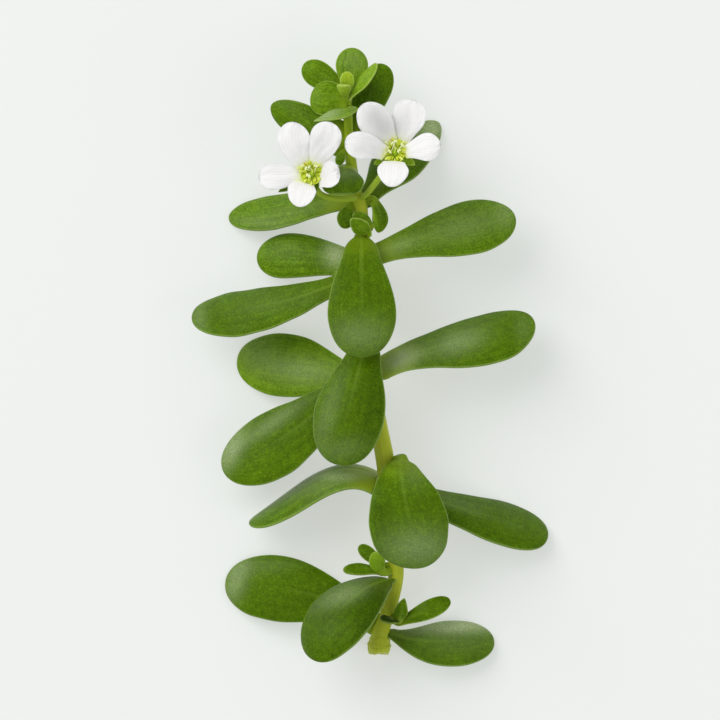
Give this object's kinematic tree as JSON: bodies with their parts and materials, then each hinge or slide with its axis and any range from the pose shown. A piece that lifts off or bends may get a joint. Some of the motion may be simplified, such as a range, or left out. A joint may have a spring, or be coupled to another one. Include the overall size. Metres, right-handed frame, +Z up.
{
  "type": "bacopa monnieri cutting",
  "caption": "Cut stem of a creeping aquarium herb with fleshy rounded leaves in pairs, a leafy crown and open white five-petalled flowers, lying on its back.",
  "frame": {"origin": "middle of the footprint, on the surface that the cutting lies on", "axes": "+Y along the stem from its cut end to its crown, +Z up, away from the surface and out of the faces of the flowers, +X to the right when seen from above with the crown at the top"},
  "size_m": [0.0428, 0.0743, 0.0174],
  "materials": {
    "stem": "satin olive-green plant stem",
    "leaf": "satin fleshy green leaf",
    "young_leaf": "satin light-green young leaf",
    "flower_stalk": "satin green stalk",
    "sepal": "satin light-green sepals",
    "petal": "soft matte white petal",
    "flower_centre": "yellow-green throat"
  },
  "bodies": {
    "root": {"stem": "stem", "leaf_bottom_right": "leaf", "leaf_bottom_left": "leaf", "leaf_lower_front": "leaf", "leaf_middle_left": "leaf", "leaf_middle_right": "leaf", "leaf_middle_front": "leaf", "leaf_centre_front": "leaf", "leaf_centre_right": "leaf", "leaf_centre_left": "leaf", "leaf_centre_back": "leaf", "leaf_upper_front": "leaf", "leaf_upper_right": "leaf", "leaf_upper_left": "leaf", "leaf_upper_back": "leaf", "leaf_top_left": "leaf", "leaf_top_right": "leaf", "leaf_top_front": "leaf", "crown_leaf_left": "leaf", "crown_leaf_right": "leaf", "crown_leaf_front": "young_leaf", "crown_leaf_top": "young_leaf", "crown_leaf_top_left": "young_leaf", "crown_leaf_side_left": "young_leaf", "crown_leaf_side_right": "young_leaf", "crown_bud_right": "young_leaf", "crown_bud_left": "young_leaf", "side_shoot_round_leaf": "young_leaf", "side_shoot_front_leaf": "young_leaf", "side_shoot_back_leaf": "young_leaf", "side_shoot_top_leaf": "young_leaf", "side_shoot_hanging_leaf": "young_leaf", "bottom_shoot_long_leaf": "young_leaf", "bottom_shoot_upright_leaf": "young_leaf", "bottom_shoot_dark_leaf": "young_leaf", "lower_shoot_upper_leaf": "young_leaf", "lower_shoot_round_leaf": "young_leaf", "lower_shoot_side_leaf": "young_leaf", "left_flower_stalk": "flower_stalk", "right_flower_stalk": "flower_stalk", "left_flower_petal_upper_left": "petal", "left_flower_petal_upper_right": "petal", "left_flower_petal_left": "petal", "left_flower_petal_bottom": "petal", "left_flower_petal_right": "petal", "right_flower_petal_upper_left": "petal", "right_flower_petal_upper_right": "petal", "right_flower_petal_left": "petal", "right_flower_petal_right": "petal", "right_flower_petal_bottom": "petal", "left_flower_centre": "flower_centre", "left_flower_sepals": "sepal", "right_flower_centre": "flower_centre", "right_flower_sepals": "sepal"}
  },
  "joints": []
}
